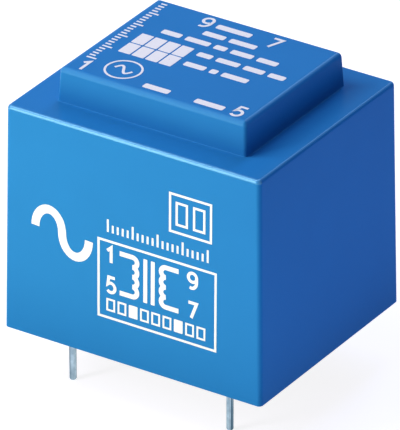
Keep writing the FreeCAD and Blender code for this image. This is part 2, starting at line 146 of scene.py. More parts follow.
class Bench:
    """Where a finish makes its material: the nodes, coordinates on the object and the shader."""

    def __init__(self, tree: Tree, shader: bpy.types.Node) -> None:
        """Lay out the object's coordinates, in metres.

        Args:
            tree: The material's node tree.
            shader: The shader of its surface.
        """
        self.tree = tree
        self.shader = shader
        self.place = add_node(tree, "ShaderNodeTexCoord").outputs["Object"]
        self.colour: Socket | None = None

    def noise(self, size: float, detail: float, place: Socket | None = None,
              **more: float) -> Socket:
        """Make a noise.

        Args:
            size: How far its features are across, in millimetres.
            detail: How many finer octaves it has.
            place: Its coordinates, if they aren't the object's own.
            **more: Further inputs by name.

        Returns:
            The noise, about 0.5 on average.
        """
        return add_node(self.tree, "ShaderNodeTexNoise", sockets={
            "Vector": self.place if place is None else place, "Scale": per_metre(size),
            "Detail": detail, **more}).outputs["Fac"]

    def stretched(self, factors: Sequence[float]) -> Socket:
        """Return coordinates in which a pattern is drawn out by a factor along each axis."""
        return add_node(self.tree, "ShaderNodeMapping", sockets={
            "Vector": self.place, "Scale": tuple(1 / f for f in factors)}).outputs[0]

    def spread(self, value: Socket, across: Point, low: float = 0.0, high: float = 1.0) -> Socket:
        """Spread a range of a value onto another one.

        Args:
            value: The value.
            across: The range's two ends, beyond which the result stays the same.
            low: The result at the first end.
            high: The result at the second end.

        Returns:
            The result.
        """
        return add_node(self.tree, "ShaderNodeMapRange", sockets={
            "Value": value, "From Min": across[0], "From Max": across[1], "To Min": low,
            "To Max": high}).outputs["Result"]

    def emboss(self, height: Socket, depth: float, under: Socket | None = None) -> Socket:
        """Raise the surface by a pattern.

        Args:
            height: The pattern.
            depth: How deep it is, in millimetres.
            under: The normal of a pattern that this one lies on.

        Returns:
            The new normal, which the shader now has too.
        """
        sockets = {"Height": height, "Distance": depth * MM, "Strength": 1.0}
        if under is not None:
            sockets["Normal"] = under
        normal = add_node(self.tree, "ShaderNodeBump", sockets=sockets).outputs["Normal"]
        self.tree.links.new(normal, self.shader.inputs["Normal"])
        return normal

    def gloss(self, noise: Socket, low: float, high: float, across: Point = NOISE_RANGE) -> None:
        """Let the roughness follow a noise from a low value to a high one."""
        roughness = self.spread(noise, across, low, high)
        self.tree.links.new(roughness, self.shader.inputs["Roughness"])

    def paint(self, share: Socket, first: Any, second: Any) -> None:
        """Colour the surface.

        Args:
            share: From 0, where the first colour shows, to 1, where the second one does.
            first: A colour, or the output that carries it.
            second: Likewise.
        """
        self.colour = add_node(self.tree, "ShaderNodeMix", {"data_type": "RGBA"}, {
            "Factor": share, 6: first, 7: second}).outputs[2]
        self.tree.links.new(self.colour, self.shader.inputs["Base Color"])


@dataclass(frozen=True)
class Finish:
    """What a surface is made of and how it was made; the kinds below add their own detail."""

    name: str
    colour: str
    deep_colour: str
    roughness: float
    metallic: float = 0.0
    specular: float = 0.5
    tint: str = "#FFFFFF"
    mottle: float = 6.0

    def make(self) -> bpy.types.Material:
        """Make the material.

        Returns:
            The material, with its colour mottled between the two colours and its detail added.
        """
        material = bpy.data.materials.new(self.name)
        tree = emptied_tree(material)
        shader = add_node(tree, "ShaderNodeBsdfPrincipled", sockets={
            "Metallic": self.metallic, "Roughness": self.roughness,
            "Specular IOR Level": self.specular, "Specular Tint": linear(self.tint)})
        add_node(tree, "ShaderNodeOutputMaterial", sockets={0: shader.outputs[0]})
        bench = Bench(tree, shader)
        mottling = bench.noise(self.mottle, detail=2.0)
        bench.paint(mottling, linear(self.deep_colour), linear(self.colour))
        self.detail(bench)
        return material

    def detail(self, bench: Bench) -> None:
        """Add what this kind of surface shows from near by.

        Args:
            bench: Where the material is made.
        """


@dataclass(frozen=True)
class MouldedPlastic(Finish):
    """Thermoplastic moulded in a spark-eroded tool: an even satin with a fine orange-peel grain."""

    grain: float = 0.16
    grain_depth: float = 0.004
    flow: float = 7.0
    flow_depth: float = 0.012
    gloss_swing: float = 0.03

    def detail(self, bench: Bench) -> None:
        """Add the tool's grain, the slow unevenness of a cooled wall and a mottled gloss.

        Args:
            bench: Where the material is made.
        """
        # Spark-eroded pits are about 0.03 mm across; drawn coarser so that they show
        pits = bench.noise(self.grain, detail=3.0, Roughness=0.6)
        wall = bench.emboss(bench.noise(self.flow, detail=1.0), self.flow_depth)
        bench.emboss(pits, self.grain_depth, under=wall)
        bench.gloss(pits, self.roughness - self.gloss_swing, self.roughness + self.gloss_swing)


@dataclass(frozen=True)
class PrintingInk(Finish):
    """Two-part ink laid down by a silicone pad: matt, a touch thin in places, with pinholes."""

    ground: str = "#2A78C8"
    pinhole: float = 0.22
    peaks: Point = (0.745, 0.80)
    bareness: float = 0.45

    def detail(self, bench: Bench) -> None:
        """Let the ground show through in pinholes, at the rare peaks of a noise.

        Args:
            bench: Where the material is made.
        """
        holes = bench.noise(self.pinhole, detail=1.0)
        share = bench.spread(holes, self.peaks, high=self.bareness)
        bench.paint(share, bench.colour, linear(self.ground))


@dataclass(frozen=True)
class PouredResin(Finish):
    """Filled casting resin, poured and cured: glossy where it lay still, with faint flow rings."""

    swirl: float = 5.0
    swirl_depth: float = 0.05
    patchiness: float = 0.14
    filler: float = 0.25
    filler_colour: str = "#4A4E52"
    filler_share: float = 0.35
    peaks: Point = (0.55, 0.75)

    def detail(self, bench: Bench) -> None:
        """Add the slow swell of the surface, the filler's specks and a patchy gloss.

        Args:
            bench: Where the material is made.
        """
        swell = bench.noise(self.swirl, detail=2.0, Distortion=0.8)
        bench.emboss(swell, self.swirl_depth)
        bench.gloss(swell, self.roughness, self.roughness + self.patchiness)
        specks = bench.spread(bench.noise(self.filler, detail=2.0), self.peaks,
                              high=self.filler_share)
        bench.paint(specks, bench.colour, linear(self.filler_colour))


@dataclass(frozen=True)
class DrawnMetal(Finish):
    """Wire pulled through a die and tinned: bright, with fine streaks along its length, darkened in
    part as painted reflection.
    """

    streak: float = 0.28
    stretch: float = 60.0
    streak_depth: float = 0.006
    polished: float = 0.06
    dulled: float = 0.1
    gloss_range: Point = (0.35, 0.65)
    streak_and_reflection_range: Point = (0.45, 0.57)

    def detail(self, bench: Bench) -> None:
        """Add the die's streaks, which run along Z, to the surface, its gloss and its colour; their
        dark colour is partly painted reflection.

        Args:
            bench: Where the material is made.
        """
        # The die's lines are about 0.01 mm apart; drawn coarser so that they show
        lines = bench.noise(self.streak, 3.0, bench.stretched((1.0, 1.0, self.stretch)))
        bench.emboss(lines, self.streak_depth)
        bench.gloss(lines, self.roughness - self.polished, self.roughness + self.dulled,
                    self.gloss_range)
        # The dark streaks are partly the die's lines and partly painted reflection, standing in for
        # the dark bands a round pin mirrors
        bench.paint(bench.spread(lines, self.streak_and_reflection_range), bench.colour, linear(self.deep_colour))


@dataclass(frozen=True)
class WoundWire(Finish):
    """Enamelled wire wound turn beside turn: coppery ridges under a clear varnish."""

    pitch: float = 0.3
    ridge: float = 0.06
    wander: float = 0.6
    varnish: float = 0.6
    varnish_roughness: float = 0.12

    def detail(self, bench: Bench) -> None:
        """Add one ridge for each turn along the coil's axis, paint shade into the gaps and varnish
        them.

        Args:
            bench: Where the material is made.
        """
        # The thin winding has 0.1 mm wire; both are drawn at the lead's 0.3 mm so that turns show
        turns = add_node(bench.tree, "ShaderNodeTexWave", {
            "wave_type": "BANDS", "bands_direction": "Y", "wave_profile": "SIN"}, {
            "Vector": bench.place, "Scale": WAVE_PERIOD * per_metre(self.pitch),
            "Distortion": self.wander, "Detail": 1.0, "Detail Scale": 0.4}).outputs["Fac"]
        bench.emboss(turns, self.ridge)
        # The gaps between turns take the deep colour: painted shade
        bench.paint(turns, linear(self.deep_colour), bench.colour)
        bench.shader.inputs["Coat Weight"].default_value = self.varnish
        bench.shader.inputs["Coat Roughness"].default_value = self.varnish_roughness


@dataclass(frozen=True)
class GrainedSurface(Finish):
    """A surface with one grain of its own: fibres, a punched edge, frost or a film's wrinkles."""

    grain: float = 0.3
    grain_depth: float = 0.02
    stretch: tuple[float, float, float] = (1.0, 1.0, 1.0)
    gloss_swing: float = 0.08

    def detail(self, bench: Bench) -> None:
        """Add the grain to the surface and to its gloss, longer along the stretched axes.

        Args:
            bench: Where the material is made.
        """
        grain = bench.noise(self.grain, 3.0, bench.stretched(self.stretch))
        bench.emboss(grain, self.grain_depth)
        bench.gloss(grain, self.roughness - self.gloss_swing, self.roughness + self.gloss_swing)


class Surface(Enum):
    """The finishes of this transformer."""

    # Polybutylene terephthalate, injection moulded: saturated blue, an even satin
    CASE = MouldedPlastic("pbt_moulded_satin_blue", "#2B88C2", "#2983BC", 0.34, specular=0.03)
    # The same, burnished where the tool's edges are polished and the case is handled: light lines
    CASE_EDGE = MouldedPlastic("pbt_moulded_burnished_blue", "#2B88C2", "#2983BC", 0.16,
                               specular=1.0, tint="#B0F4FF", grain_depth=0.0015)
    # The same where the tool's edges are duller, on the dome and to the right: soft, broad lights
    CASE_BROAD_EDGE = MouldedPlastic("pbt_moulded_dull_edged_blue", "#2B88C2", "#2983BC", 0.36,
                                     specular=0.3, tint="#B0F4FF")
    # Two-part epoxy ink, pad printed: flat white that lets a little of the blue through
    INK = PrintingInk("epoxy_ink_pad_printed_white", "#FFFFF0", "#FAFAEA", 0.45)
    # Filled polyurethane resin, poured: near black, glossy, with a still surface
    RESIN = PouredResin("polyurethane_resin_poured_black", "#1B1D20", "#131416", 0.22)
    # Glass-filled polyamide, moulded: pale natural colour with fibres that dull the gloss
    BOBBIN = GrainedSurface("polyamide_glass_filled_moulded_natural", "#E2DAC6", "#D6CDB7", 0.45,
                            grain=0.2, stretch=(1.0, 4.0, 1.0))
    # Copper wire, enamelled and wound: warm ridges under clear varnish, with painted shade in the
    # gaps between turns
    WINDING = WoundWire("copper_wire_enamelled_wound", "#C4703A", "#6E3215", 0.3, metallic=0.85)
    # Polyester film tape, wound under tension: glossy amber with faint wrinkles along the wrap
    TAPE = GrainedSurface("polyester_tape_wound_amber", "#E2B341", "#D6A22E", 0.25, grain=0.8,
                          grain_depth=0.03, stretch=(3.0, 1.0, 3.0))
    # Copper-clad steel wire, drawn and tinned: cool bright grey with dark streaks along the pin,
    # partly painted reflection
    PIN = DrawnMetal("copper_clad_steel_drawn_tinned", "#CBE4F0", "#4E6C7E", 0.2, metallic=1.0,
                     mottle=1.2)
    # Tin solder, dipped: soft bright grey with a slightly frosted skin
    SOLDER = GrainedSurface("tin_solder_dipped", "#C9CED2", "#B4BABF", 0.3, metallic=1.0,
                            mottle=0.8, grain=0.15, grain_depth=0.01)
    # Silicon steel, rolled, coated and punched: grey-blue with dull streaks along the rolling
    STEEL = GrainedSurface("silicon_steel_rolled_coated", "#767E86", "#5F666D", 0.42, metallic=0.8,
                           grain=0.25, grain_depth=0.01, stretch=(8.0, 1.0, 1.0))


class FinishShelf:
    """Makes each finish once and hands it out."""

    def __init__(self) -> None:
        """Start with no finish made."""
        self.made: dict[Surface, bpy.types.Material] = {}

    def take(self, surface: Surface) -> bpy.types.Material:
        """Hand out a material, made the first time that it is asked for.

        Args:
            surface: Its finish.

        Returns:
            The material.
        """
        if surface not in self.made:
            self.made[surface] = surface.value.make()
        return self.made[surface]


# Meshes


def arc(centre: Point, radii: Point, start: float, end: float, steps: int) -> list[Point]:
    """Return points on an arc of an ellipse, between two angles in degrees."""
    turns = [math.radians(start + (end - start) * i / steps) for i in range(steps + 1)]
    return [(centre[0] + radii[0] * math.cos(t), centre[1] + radii[1] * math.sin(t)) for t in turns]


def round_profile(corners: Sequence[tuple[float, float, float]], steps: int = 8) -> list[Point]:
    """Round the corners of a profile, with a point just before and after each rounding.

    Args:
        corners: Inset, height and radius of each corner; the two ends have no rounding.
        steps: Segments in each rounding.

    Returns:
        Insets and heights along the profile.
    """
    points = [corners[0][:2]]
    for before, here, after in zip(corners, corners[1:], corners[2:]):
        spot, radius = Vector(here[:2]), here[2]
        back = (Vector(before[:2]) - spot).normalized()
        ahead = (Vector(after[:2]) - spot).normalized()
        half = back.angle(ahead) / 2
        reach = radius / math.tan(half)
        middle = spot + (back + ahead).normalized() * (radius / math.sin(half))
        start, end = spot + back * reach - middle, spot + ahead * reach - middle
        turn = start.angle_signed(end)
        points.append(tuple(middle + start + back * HOLD))
        for i in range(steps + 1):
            spoke = start.copy()
            spoke.rotate(Matrix.Rotation(-turn * i / steps, 2))
            points.append(tuple(middle + spoke))
        points.append(tuple(middle + end + ahead * HOLD))
    points.append(corners[-1][:2])
    return points


class Skin:
    """The faces of one piece, gathered from lofts and made into a mesh."""

    def __init__(self) -> None:
        """Start with nothing."""
        self.points: Ring = []
        self.faces: list[Iterable[int]] = []

    def loft(self, rings: Sequence[Ring], closed: bool = False) -> None:
        """Join rings of equal count with four-sided faces.

        Args:
            rings: The rings, in order.
            closed: Whether the last ring joins the first; otherwise both ends are capped.
        """
        first, count = len(self.points), len(rings[0])
        self.points += [point for ring in rings for point in ring]
        spans = len(rings) if closed else len(rings) - 1
        for i in range(spans):
            low, high = first + i * count, first + (i + 1) % len(rings) * count
            for j in range(count):
                k = (j + 1) % count
                self.faces.append([low + j, low + k, high + k, high + j])
        if not closed:
            last = first + spans * count
            self.faces.append(range(first + count - 1, first - 1, -1))
            self.faces.append(range(last, last + count))

    def piece(self, name: str, material: bpy.types.Material) -> bpy.types.Object:
        """Make the piece, which rides on the transformer's one body.

        Args:
            name: The piece's name.
            material: Its material.

        Returns:
            The piece, its faces turned outwards and shaded smooth.
        """
        mesh = bpy.data.meshes.new(name)
        mesh.from_pydata([point * MM for point in self.points], [], [list(f) for f in self.faces])
        work = bmesh.new()
        work.from_mesh(mesh)
        bmesh.ops.recalc_face_normals(work, faces=work.faces)
        work.to_mesh(mesh)
        work.free()
        mesh.materials.append(material)
        mesh.shade_smooth()
        piece = add_object(name, mesh)
        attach(piece, "root")
        LOG.info("%s: %d faces", name, len(mesh.polygons))
        return piece


@dataclass(frozen=True)
class Outline:
    """A rounded rectangle that drafted walls rise from."""

    length: float
    width: float
    corner: float
    least_corner: float
    draft: float
    foot: float

    def lean(self, height: float) -> float:
        """Return how far the wall has come in at a height."""
        return (height - self.foot) * math.tan(math.radians(self.draft))

    def ring(self, inset: float, height: float, steps: int = 8) -> Ring:
        """Return the outline moved in by an inset, at a height.

        Args:
            inset: Distance inside the outline at the foot.
            height: Height of the ring.
            steps: Segments in each corner.

        Returns:
            The points, anticlockwise, with one just before and after each corner.
        """
        a, b = self.length / 2 - inset, self.width / 2 - inset
        corner = max(self.corner - (inset - self.lean(height)), self.least_corner)
        points = []
        for quarter, (sign_x, sign_y) in enumerate(((1, 1), (-1, 1), (-1, -1), (1, -1))):
            centre = (sign_x * (a - corner), sign_y * (b - corner))
            bend = arc(centre, (corner, corner), 90 * quarter, 90 * quarter + 90, steps)
            along = math.radians(90 * quarter)
            (x0, y0), (x1, y1) = bend[0], bend[-1]
            points.append((x0 + HOLD * math.sin(along), y0 - HOLD * math.cos(along)))
            points += bend
            points.append((x1 - HOLD * math.cos(along), y1 - HOLD * math.sin(along)))
        return [Vector((x, y, height)) for x, y in points]


# The transformer


@dataclass
class Housing:
    """The moulded case: drafted walls, a rounded shoulder and the dome over the coil."""

    length: float = 32.487
    width: float = 27.487
    shoulder_height: float = 26.7
    height: float = 30.7
    dome_length: float = 23.7192
    dome_width: float = 19.4192
    side_wall: float = 0.8
    roof_height: float = 25.7
    ceiling_height: float = 29.7
    coil_room_wall: float = 0.7976
    wall_draft: float = 0.8
    dome_draft: float = 3.0
    corner: float = 0.5
    edge: float = 0.42
    dome_edge: float = 0.6
    root: float = 0.12
    hollow_corner: float = 0.3
    sharp_corner: float = 0.02
    rim_edge: float = 0.06
    # How far the profile runs straight beside the rim and beside the other edges
    rim_band: float = 1.0
    edge_band: float = 0.6
    # How far a rounded edge's face is turned to the front, from 0 for level or sideways to 1,
    # and how far at most it is turned to the right to count as the upper half of the edge
    least_turn: float = 0.1
    most_turn: float = 0.995
    upper_half: float = 0.7

    def outlines(self) -> dict[str, Outline]:
        """Draw the case, the dome and the two rooms inside.

        Returns:
            The outline of each by its name.
        """
        walls, coil_walls = 2 * self.side_wall, 2 * self.coil_room_wall
        sharp = self.sharp_corner
        return {
            "case": Outline(self.length, self.width, self.corner, self.hollow_corner,
                            self.wall_draft, 0.0),
            "dome": Outline(self.dome_length, self.dome_width, self.edge, sharp,
                            self.dome_draft, self.shoulder_height),
            "core_room": Outline(self.length - walls, self.width - walls, self.hollow_corner,
                                 sharp, self.wall_draft, 0.0),
            "coil_room": Outline(self.dome_length - coil_walls, self.dome_width - coil_walls,
                                 sharp, sharp, self.dome_draft, self.roof_height),
        }

    def rings(self) -> list[Ring]:
        """Draw the shell's section round the outlines.

        Returns:
            The rings from the ceiling inside, round the rim, to the top of the dome.
        """
        lines = self.outlines()
        case, dome = lines["case"], lines["dome"]
        core_room, coil_room = lines["core_room"], lines["coil_room"]
        inside = [
            coil_room.ring(coil_room.lean(self.ceiling_height), self.ceiling_height),
            coil_room.ring(0.0, self.roof_height),
            core_room.ring(core_room.lean(self.roof_height), self.roof_height),
        ]
        lean, over = case.lean(self.shoulder_height), dome.lean(self.height)
        walls = round_profile([
            (self.side_wall + core_room.lean(self.rim_band), self.rim_band, 0.0),
            (self.side_wall, 0.0, self.rim_edge),
            (0.0, 0.0, self.rim_edge),
            (lean, self.shoulder_height, self.edge),
            (lean + self.edge_band, self.shoulder_height, 0.0),
        ])
        crown = round_profile([
            (-self.edge_band, self.shoulder_height, 0.0),
            (0.0, self.shoulder_height, self.root),
            (over, self.height, self.dome_edge),
            (over + 2 * self.edge_band, self.height, 0.0),
        ])
        return (inside + [case.ring(i, h) for i, h in walls]
                + [dome.ring(i, h) for i, h in crown[1:]])

    def edge_slot(self, height: float, normal: Vector) -> int:
        """Choose the finish of a face of the shell.

        Args:
            height: The face's height.
            normal: Its direction.

        Returns:
            1 for the burnished edge over the front, 2 for the duller edges, or else 0.
        """
        on_shoulder = self.roof_height < height < self.shoulder_height
        if not (on_shoulder or height > self.height - self.dome_edge):
            return 0
        if self.least_turn < -normal.y < self.most_turn:
            return 1 if on_shoulder else 2
        return 2 if self.least_turn < normal.x < self.upper_half else 0

    def build(self, shelf: FinishShelf) -> bpy.types.Object:
        """Build the shell and let it stand for the CAD housing.

        Args:
            shelf: The finishes.

        Returns:
            The shell.
        """
        skin = Skin()
        skin.loft(self.rings())
        shell = skin.piece("housing_shell", shelf.take(Surface.CASE))
        for surface in (Surface.CASE_EDGE, Surface.CASE_BROAD_EDGE):
            shell.data.materials.append(shelf.take(surface))
        for face in shell.data.polygons:
            face.material_index = self.edge_slot(face.center.z / MM, face.normal)
        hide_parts("housing")
        return shell


@dataclass
class Pins:
    """The four pins, square where the rail grips them and round below."""

    row_distance: float = 20.0
    primary_spacing: float = 20.0
    secondary_spacing: float = 10.0
    diameter: float = 0.8
    length: float = 6.4
    tip: float = 0.25
    shank: float = 0.56
    shank_top: float = 5.25
    resin_level: float = 0.5
    hold: float = 0.02
    sides: int = 48

    def places(self) -> dict[str, Point]:
        """Lay out the pins.

        Returns:
            Each CAD pin's name with its place on the board.
        """
        row, primary, secondary = (self.row_distance / 2, self.primary_spacing / 2,
                                   self.secondary_spacing / 2)
        return {
            "primary_pin_1": (-primary, -row),
            "primary_pin_5": (primary, -row),
            "secondary_pin_7": (secondary, row),
            "secondary_pin_9": (-secondary, row),
        }

    def ring(self, place: Point, reach: float, height: float, square: bool = False) -> Ring:
        """Return a round or square ring about a pin's axis.

        Args:
            place: The pin's place on the board.
            reach: Distance from the axis to the ring, or to the middle of a square's sides.
            height: Height of the ring.
            square: Whether the ring is square.

        Returns:
            The points, anticlockwise.
        """
        points = []
        for i in range(self.sides):
            angle = 2 * math.pi * i / self.sides
            cos, sin = math.cos(angle), math.sin(angle)
            spoke = reach / max(abs(cos), abs(sin)) if square else reach
            points.append(Vector((place[0] + spoke * cos, place[1] + spoke * sin, height)))
        return points

    def profile(self) -> list[Point]:
        """Draw the round part.

        Returns:
            Distances from the axis and heights, from the tip upwards.
        """
        radius, tip, end = self.diameter / 2, self.tip, -self.length
        rounding = arc((radius - tip, end + tip), (tip, tip), -90, 0, 6)
        return [(radius - tip - self.hold, end), *rounding, (radius, end + tip + self.hold),
                (radius, self.resin_level - self.hold), (radius, self.resin_level)]

    def build(self, shelf: FinishShelf) -> list[bpy.types.Object]:
        """Build the pins and let each stand for its CAD pin.

        Args:
            shelf: The finishes.

        Returns:
            The four pins.
        """
        pieces = []
        for node, place in self.places().items():
            rings = [self.ring(place, reach, height) for reach, height in self.profile()]
            rings += [self.ring(place, self.shank / 2, height, square=True)
                      for height in (self.resin_level, self.shank_top)]
            skin = Skin()
            skin.loft(rings)
            pin = skin.piece(node.replace("_pin_", "_terminal_"), shelf.take(Surface.PIN))
            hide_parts(node)
            pieces.append(pin)
        return pieces


@dataclass
class ResinEdges:
    """Where the poured resin crept up the walls and the pins before it set."""

    housing: Housing
    pins: Pins
    level: float = 0.5
    climb: float = 0.26
    spread: float = 0.42
    sunk: float = 0.03
    steps: int = 8

    def section(self) -> list[Point]:
        """Draw the hollow wedge of resin.

        Returns:
            Distances from the wetted wall and heights.
        """
        foot, deep = self.level - self.climb, self.level + self.sunk
        curve = arc((self.spread, foot), (self.spread, self.climb), 180, 90, self.steps)
        return [(-self.sunk, foot), *curve, (self.spread, deep), (-self.sunk, deep)]

    def build(self, shelf: FinishShelf) -> list[bpy.types.Object]:
        """Build the meniscus along the walls and the collars round the pins.

        Args:
            shelf: The finishes.

        Returns:
            The two pieces.
        """
        room = self.housing.outlines()["core_room"]
        creep, collars = Skin(), Skin()
        creep.loft([room.ring(gap + room.lean(height), height) for gap, height in self.section()],
                   closed=True)
        for place in self.pins.places().values():
            collars.loft([self.pins.ring(place, self.pins.diameter / 2 + gap, height)
                          for gap, height in self.section()], closed=True)
        resin = shelf.take(Surface.RESIN)
        pieces = [creep.piece("resin_wall_meniscus", resin),
                  collars.piece("resin_pin_collars", resin)]
        return pieces


@dataclass
class Inside:
    """What the resin hides: coil former, windings, tapes, joints and the stack of sheets."""

    finishes: dict[str, Surface] = field(default_factory=lambda: {
        "case_plastic": Surface.CASE,
        "potting_resin": Surface.RESIN,
        "bobbin_plastic": Surface.BOBBIN,
        "enamelled_copper": Surface.WINDING,
        "coil_tape": Surface.TAPE,
        "tinned_pin": Surface.PIN,
        "solder": Surface.SOLDER,
        "core_steel": Surface.STEEL,
    })

    def dress(self, shelf: FinishShelf) -> None:
        """Give every CAD node its finish, by the name of the slot that it came with.

        Args:
            shelf: The finishes.
        """
        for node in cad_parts.values():
            for i, slot in enumerate(node.data.materials):
                node.data.materials[i] = shelf.take(self.finishes[slot.name])
        LOG.info("dressed %d CAD nodes", len(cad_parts))


# The print


@dataclass(frozen=True)
class Panel:
    """A flat face of the case that takes print."""

    origin: Vector
    across: Vector
    upward: Vector

    def point(self, place: Point, proud: float) -> Vector:
        """Return the place across and up the face, proud of it."""
        outward = self.across.cross(self.upward)
        return self.origin + self.across * place[0] + self.upward * place[1] + outward * proud


def ribbon(points: Sequence[Point], width: float, closed: bool = False) -> Strip:
    """Widen a line into a strip with mitred corners.

    Args:
        points: The line's points.
        width: The strip's width.
        closed: Whether the line ends where it starts, without naming that point twice.

    Returns:
        Pairs of points left and right of the line; a closed strip ends with its first pair.
    """
    # Below this cosine a mitre would grow into a spike
    least_cosine = 0.3
    line = [Vector(p) for p in points]
    count = len(line)
    pairs = []
    for i, spot in enumerate(line):
        before = line[i - 1] if closed or i > 0 else None
        after = line[(i + 1) % count] if closed or i < count - 1 else None
        back = (spot - before).normalized() if before is not None else None
        ahead = (after - spot).normalized() if after is not None else back
        back = back or ahead
        along = (back + ahead).normalized()
        side = Vector((-along.y, along.x))
        reach = width / 2 / max(side.dot(Vector((-ahead.y, ahead.x))), least_cosine)
        pairs.append((tuple(spot + side * reach), tuple(spot - side * reach)))
    return pairs + pairs[:1] if closed else pairs


def block(low: Point, high: Point, corner: float, steps: int = 3) -> Strip:
    """Draw a filled rectangle with rounded corners.

    Args:
        low: Its lower left corner.
        high: Its upper right corner.
        corner: Radius of its corners.
        steps: Segments in each corner.

    Returns:
        A strip that runs across.
    """
    (x0, y0), (x1, y1) = low, high
    bends = []
    for i in range(steps + 1):
        turn = math.pi / 2 * i / steps
        bends.append((corner * (1 - math.cos(turn)), corner * (1 - math.sin(turn))))
    left = [((x0 + dx, y1 - dy), (x0 + dx, y0 + dy)) for dx, dy in bends]
    right = [((x1 - dx, y1 - dy), (x1 - dx, y0 + dy)) for dx, dy in reversed(bends)]
    return left + right


class Numeral(Enum):
    """The one stroke that draws each digit."""

    ONE = [(0.12, 1.22), (0.55, 1.6), (0.55, 0.0)]
    FIVE = [(0.92, 1.6), (0.24, 1.6), (0.15, 0.86)] + arc((0.47, 0.5), (0.47, 0.5), 118, -142, 16)
    SEVEN = [(0.05, 1.6), (0.95, 1.6), (0.36, 0.0)]
    NINE = (arc((0.38, 0.72), (0.56, 0.72), -112, 8, 8)
            + arc((0.48, 1.13), (0.46, 0.47), 8, 318, 20))

    def strokes(self, corner: Point, height: float) -> list[Point]:
        """Return the stroke at this height, from its lower left corner."""
        scale = height / NUMERAL_BOX
        return [(corner[0] + x * scale, corner[1] + y * scale) for x, y in self.value]


@dataclass
class PadPrint:
    """White shapes printed on one panel, each a thin closed sheet of ink."""

    panel: Panel
    thickness: float = 0.025
    sunk: float = 0.015
    long_tick_every: int = 5
    short_tick: float = 0.6
    strips: list[Strip] = field(default_factory=list)

    def line(self, points: Sequence[Point], width: float, closed: bool = False) -> None:
        """Print a line of even width."""
        self.strips.append(ribbon(points, width, closed))

    def box(self, low: Point, high: Point, width: float) -> None:
        """Print the outline of a rectangle."""
        self.line([low, (high[0], low[1]), high, (low[0], high[1])], width, closed=True)

    def bar(self, low: Point, high: Point, corner: float) -> None:
        """Print a filled rectangle."""
        self.strips.append(block(low, high, corner))

    def numeral(self, digit: Numeral, corner: Point, height: float, width: float) -> None:
        """Print a digit whose lower left corner is given."""
        self.line(digit.strokes(corner, height), width)

    def scale(self, start: Point, step: Point, count: int, tick: Point, width: float) -> None:
        """Print a graduated scale, in which one tick of each few is longer.

        Args:
            start: Foot of the first tick.
            step: From one tick to the next.
            count: Number of ticks.
            tick: The longest tick, from its foot to its end.
            width: Line width.
        """
        for i in range(count):
            share = self.short_tick if i % self.long_tick_every else 1.0
            x, y = start[0] + step[0] * i, start[1] + step[1] * i
            self.line([(x, y), (x + tick[0] * share, y + tick[1] * share)], width)

    def coil(self, foot: Point, loops: int, radius: float, width: float, side: float,
             lead: float) -> None:
        """Print a coil of half loops that climbs from its foot and bulges to one side.

        Args:
            foot: Lower end of the coil.
            loops: Number of half loops.
            radius: Radius of each.
            width: Line width.
            side: 1 to bulge to the right, -1 to the left.
            lead: Length of the straight ends, which run away from the bulge.
        """
        # Where two loops meet, their outer edges stop this many degrees short of the cusp
        gap = 2
        outer, inner, steps = radius + width / 2, radius - width / 2, 14
        cusp = math.degrees(math.asin(radius / outer))
        strip: Strip = []
        for i in range(loops):
            centre = (foot[0], foot[1] + radius * (2 * i + 1))
            low, high = (-90 if i == 0 else -cusp), (90 if i == loops - 1 else cusp)
            outside = arc(centre, (side * outer, outer), low, high, steps)
            inside = arc(centre, (side * inner, inner), -90, 90, steps)
            if i > 0:
                strip.append((outside[0], (foot[0], centre[1] - radius)))
                outside[0] = arc(centre, (side * outer, outer), low + gap, low + gap, 1)[0]
            if i < loops - 1:
                outside[-1] = arc(centre, (side * outer, outer), high - gap, high - gap, 1)[0]
            strip += list(zip(outside, inside))
        away, top, half = foot[0] - side * lead, foot[1] + 2 * radius * loops, width / 2
        strip.insert(0, ((away, foot[1] - half), (away, foot[1] + half)))
        strip.append(((away, top + half), (away, top - half)))
        self.strips.append(strip)

    def build(self, name: str, shelf: FinishShelf) -> bpy.types.Object:
        """Lay the shapes down as one piece.

        Args:
            name: The piece's name.
            shelf: The finishes.

        Returns:
            The piece.
        """
        skin, face = Skin(), self.panel.point
        for strip in self.strips:
            closed = len(strip) > 2 and strip[0] == strip[-1]
            pairs = strip[:-1] if closed else strip
            skin.loft([[face(left, self.thickness), face(right, self.thickness),
                        face(right, -self.sunk), face(left, -self.sunk)]
                       for left, right in pairs], closed)
        piece = skin.piece(name, shelf.take(Surface.INK))
        piece.data.shade_flat()
        return piece


@dataclass
class PrintedFace:
    """A face of the case with several drawings, each a piece of its own."""

    housing: Housing

    def panel(self) -> Panel:
        """Return the face that takes the print."""
        raise NotImplementedError

    def drawings(self) -> dict[str, Callable[[PadPrint], None]]:
        """Return each piece's name with the method that draws it."""
        raise NotImplementedError

    def build(self, shelf: FinishShelf) -> list[bpy.types.Object]:
        """Print every drawing.

        Args:
            shelf: The finishes.

        Returns:
            The printed pieces.
        """
        pieces = []
        for name, draw in self.drawings().items():
            pad = PadPrint(self.panel())
            draw(pad)
            pieces.append(pad.build(name, shelf))
        return pieces


